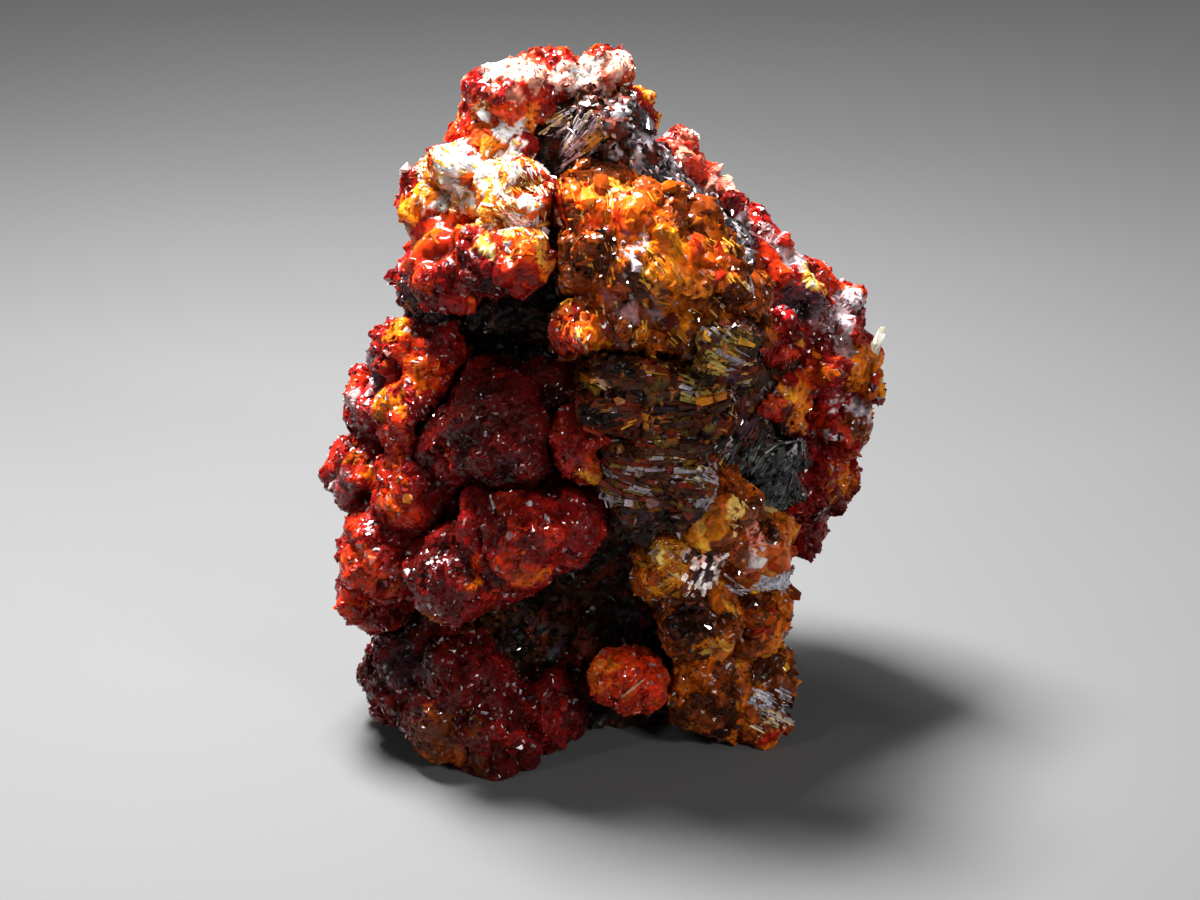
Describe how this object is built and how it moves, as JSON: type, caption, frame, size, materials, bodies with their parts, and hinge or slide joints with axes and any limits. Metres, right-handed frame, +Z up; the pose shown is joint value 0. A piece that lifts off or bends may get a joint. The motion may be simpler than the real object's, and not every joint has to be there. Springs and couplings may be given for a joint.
{
  "type": "zincite on matrix",
  "caption": "Upright hand-sized mineral specimen: knobbly groups of garnet-red to amber zincite crystals grown on a fibrous grey-brown matrix, standing on its own base.",
  "frame": {"origin": "middle of the specimen's footprint box, on the surface that it stands on", "axes": "+Z up, -Y out of the front face that the picture shows, +X to the right of someone who looks at that face"},
  "size_m": [0.0484, 0.0356, 0.0587],
  "materials": {
    "matrix_rock": "fibrous grey-brown rock, dull with silky glints along its fibres",
    "zincite_red": "granular garnet-red crystal crust, glassy facets, deep and almost opaque",
    "zincite_dark_red": "granular dark red-brown crystal crust, glassy facets, almost opaque",
    "zincite_orange": "orange-red crystal, glassy facets that glow where light comes through",
    "zincite_amber": "amber to golden-brown blocky crystal, glassy facets and yellow veins",
    "pale_crystal": "cream-white splinter of clear crystal"
  },
  "bodies": {
    "root": {"matrix": "matrix_rock", "pale_splinter": "pale_crystal", "zincite_crown": "zincite_orange", "zincite_amber_ridge": "zincite_amber", "zincite_amber_nodule": "zincite_orange", "zincite_upper_boss": "zincite_dark_red", "zincite_lower_boss": "zincite_red", "zincite_left_flank": "zincite_red", "zincite_left_foot": "zincite_dark_red", "zincite_cave_nodule": "zincite_orange", "zincite_right_base": "zincite_amber", "zincite_right_wing": "zincite_red", "zincite_back_left": "zincite_red", "zincite_back_foot": "zincite_amber"}
  },
  "joints": []
}
